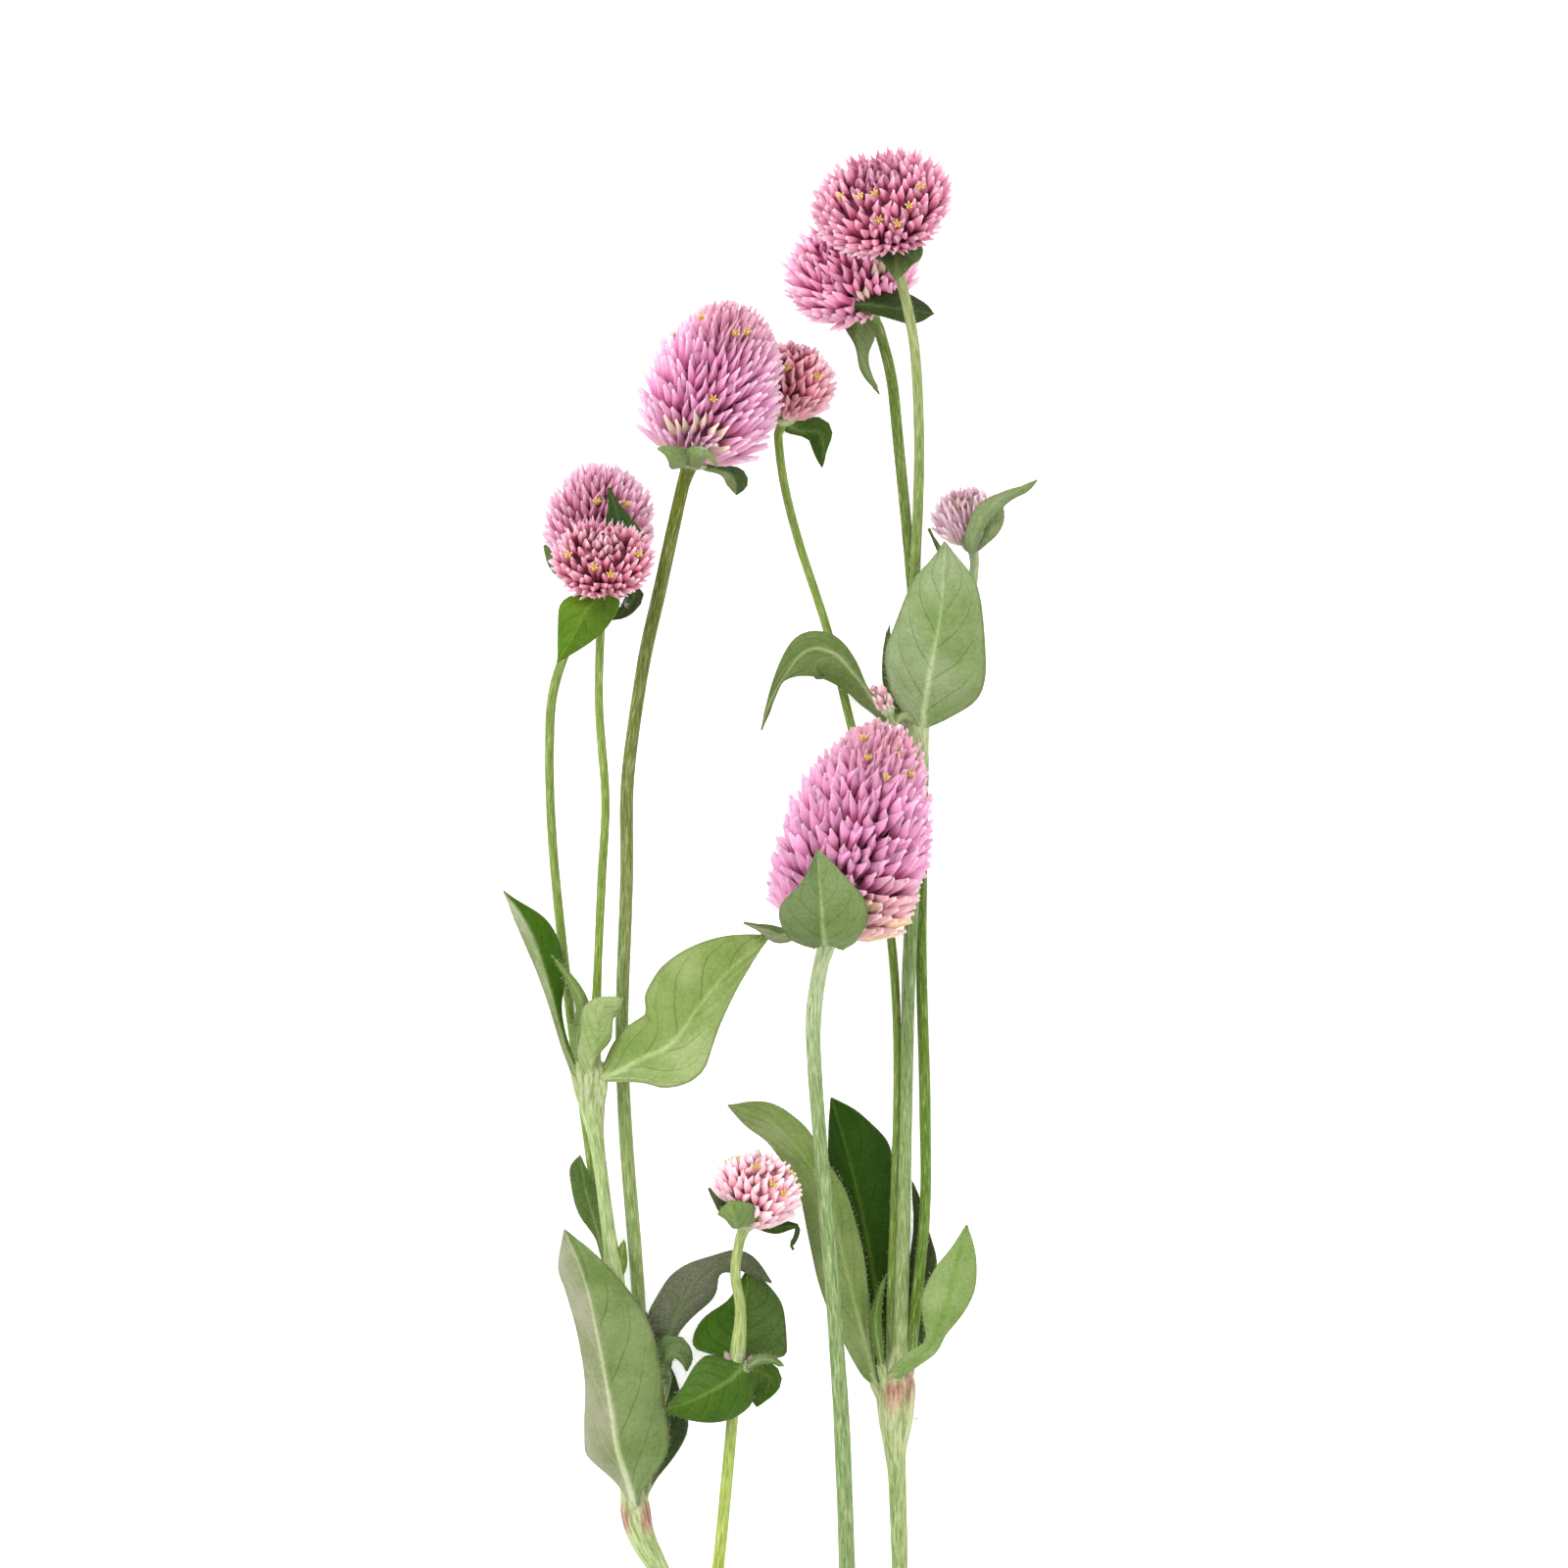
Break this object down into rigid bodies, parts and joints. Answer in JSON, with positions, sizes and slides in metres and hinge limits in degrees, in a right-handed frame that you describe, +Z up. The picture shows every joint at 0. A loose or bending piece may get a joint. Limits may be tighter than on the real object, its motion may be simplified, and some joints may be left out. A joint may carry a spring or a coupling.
{
  "type": "globe amaranth stem",
  "caption": "Cut branching stem of globe amaranth with leaves and round papery flower heads, lying flat for display or arranging.",
  "frame": {"origin": "middle of the spray's box, on the surface that it lies on", "axes": "+Z up from the surface, +Y from the cut end towards the topmost heads"},
  "size_m": [0.0981, 0.3512, 0.0439],
  "materials": {
    "stem_green": "matt ribbed green stem with fine hairs",
    "leaf_green": "matt green leaf with pale veins and a hairy edge",
    "floret_pink": "papery, faintly glossy pink bracts with pale tips"
  },
  "bodies": {
    "root": {"stems": "stem_green", "leaf_lower_left_front": "leaf_green", "leaf_lower_left_rear": "leaf_green", "leaf_dark_curled": "leaf_green", "leaf_small_folded": "leaf_green", "leaf_behind_left_stem": "leaf_green", "leaf_between_left_stems": "leaf_green", "leaf_middle_front": "leaf_green", "leaf_middle_rear": "leaf_green", "leaf_middle_lower": "leaf_green", "leaf_middle_thin": "leaf_green", "leaf_upper_left_broad": "leaf_green", "leaf_upper_left_narrow": "leaf_green", "leaf_upper_left_curled": "leaf_green", "leaf_upper_left_thin": "leaf_green", "leaf_right_long": "leaf_green", "leaf_right_dark": "leaf_green", "leaf_right_dark_small": "leaf_green", "leaf_right_light": "leaf_green", "leaf_right_sliver": "leaf_green", "leaf_top_broad": "leaf_green", "leaf_top_arched": "leaf_green", "leaf_top_sliver": "leaf_green", "leaf_top_rear": "leaf_green", "bracts_left_tall": "leaf_green", "bracts_front_cone": "leaf_green", "bracts_top_front": "leaf_green", "bracts_top_rear": "leaf_green", "bracts_upper_small": "leaf_green", "bracts_left_rear": "leaf_green", "bracts_left_front": "leaf_green", "bracts_low_small": "leaf_green", "bracts_right_small": "leaf_green", "bracts_bud": "leaf_green", "head_left_tall": "floret_pink", "head_front_cone": "floret_pink", "head_top_front": "floret_pink", "head_top_rear": "floret_pink", "head_upper_small": "floret_pink", "head_left_rear": "floret_pink", "head_left_front": "floret_pink", "head_low_small": "floret_pink", "head_right_small": "floret_pink", "head_bud": "floret_pink"}
  },
  "joints": []
}
